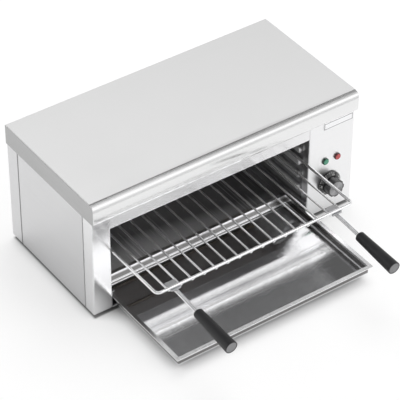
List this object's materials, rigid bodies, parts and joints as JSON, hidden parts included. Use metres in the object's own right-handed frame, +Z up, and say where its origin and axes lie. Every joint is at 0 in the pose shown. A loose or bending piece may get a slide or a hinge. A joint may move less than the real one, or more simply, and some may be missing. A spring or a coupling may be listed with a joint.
{
  "type": "cheese melter",
  "caption": "Countertop sheet-metal grill with an open front, overhead elements, a pull-out wire rack with two black grips, a pull-out crumb tray, a thermostat knob and pilot lamps",
  "frame": {"origin": "on the standing surface, under the centre of the lid", "axes": "+X to the right as seen from the front, +Y to the back, +Z up; the rack and tray pull out towards -Y"},
  "size_m": [0.6, 0.6183, 0.2715],
  "materials": {
    "lid_steel": "satin brushed stainless steel, folded",
    "body_steel": "bright brushed stainless steel",
    "liner_steel": "stainless steel, slightly heat-tinted",
    "tray_steel": "bright polished stainless steel",
    "rack_chrome": "chrome-plated wire",
    "weld_plate_steel": "plated flat steel",
    "grip_plastic": "black moulded plastic, soft sheen",
    "grip_cap_plastic": "grey moulded disc",
    "element_sheath": "dark oxidised alloy sheath",
    "plain_brass": "turned brass",
    "ceramic": "white steatite ceramic, glazed",
    "fastener_steel": "zinc-plated steel",
    "control_plastic": "dark moulded plastic",
    "copper_tube": "drawn copper",
    "knob_plastic": "black moulded plastic with pale graduations",
    "knob_face_metal": "spun aluminium disc",
    "pointer_white": "white print",
    "green_lens": "green lens",
    "red_lens": "red lens",
    "terminal_plastic": "pale moulded plastic",
    "gland_plastic": "black nylon",
    "seal_rubber": "black rubber",
    "lead_insulation": "silicone-covered lead",
    "plate_metal": "bare pale plate",
    "foot_rubber": "black rubber"
  },
  "bodies": {
    "cabinet": {"lid": "lid_steel", "left_pillar": "body_steel", "control_panel": "body_steel", "lintel": "body_steel", "left_side_panel": "body_steel", "right_side_panel": "body_steel", "rear_panel": "body_steel", "base_plate": "liner_steel", "feet": "foot_rubber", "foot_screws": "fastener_steel", "foot_nuts": "fastener_steel", "name_plate": "plate_metal", "lid_screws": "fastener_steel", "rear_panel_screws": "fastener_steel", "left_liner": "liner_steel", "right_liner": "liner_steel", "cavity_back": "liner_steel", "cavity_ceiling": "liner_steel", "left_tray_guide": "liner_steel", "right_tray_guide": "liner_steel", "front_heating_element": "element_sheath", "rear_heating_element": "element_sheath", "element_hangers": "liner_steel", "element_bushings": "plain_brass", "element_nuts": "plain_brass", "element_insulators": "ceramic", "element_pins": "fastener_steel", "thermostat_body": "control_plastic", "thermostat_screws": "fastener_steel", "sensor_bulb": "copper_tube", "bulb_clips": "fastener_steel", "capillary_tube": "copper_tube", "green_pilot_lens": "green_lens", "red_pilot_lens": "red_lens", "pilot_lamp_bodies": "control_plastic", "pilot_lamp_nuts": "control_plastic", "terminal_block": "terminal_plastic", "cable_gland": "gland_plastic", "gland_nut": "gland_plastic", "gland_seal": "seal_rubber", "earth_stud": "plain_brass", "internal_wires": "lead_insulation"},
    "tray": {"crumb_tray": "tray_steel"},
    "rack": {"rack_frame": "rack_chrome", "rack_wires": "rack_chrome", "left_handle_plate": "weld_plate_steel", "right_handle_plate": "weld_plate_steel", "left_handle_rods": "rack_chrome", "right_handle_rods": "rack_chrome", "left_grip": "grip_plastic", "right_grip": "grip_plastic", "left_grip_cap": "grip_cap_plastic", "right_grip_cap": "grip_cap_plastic"},
    "knob": {"thermostat_spindle": "fastener_steel", "knob_skirt": "knob_plastic", "knob_cap": "knob_plastic", "knob_face": "knob_face_metal", "knob_pointer": "pointer_white"}
  },
  "joints": [
    {"name": "tray_slide", "type": "slide", "parent": "cabinet", "child": "tray", "axis": [0, 1, 0], "range_m": [-0.04, 0.203]},
    {"name": "rack_slide", "type": "slide", "parent": "cabinet", "child": "rack", "axis": [0, 1, 0], "range_m": [-0.06, 0.145]},
    {"name": "thermostat_knob", "type": "hinge", "parent": "cabinet", "child": "knob", "pos_m": [0.2435, -0.1401, 0.0735], "axis": [0, 1, 0], "range_deg": [0, 300]}
  ]
}
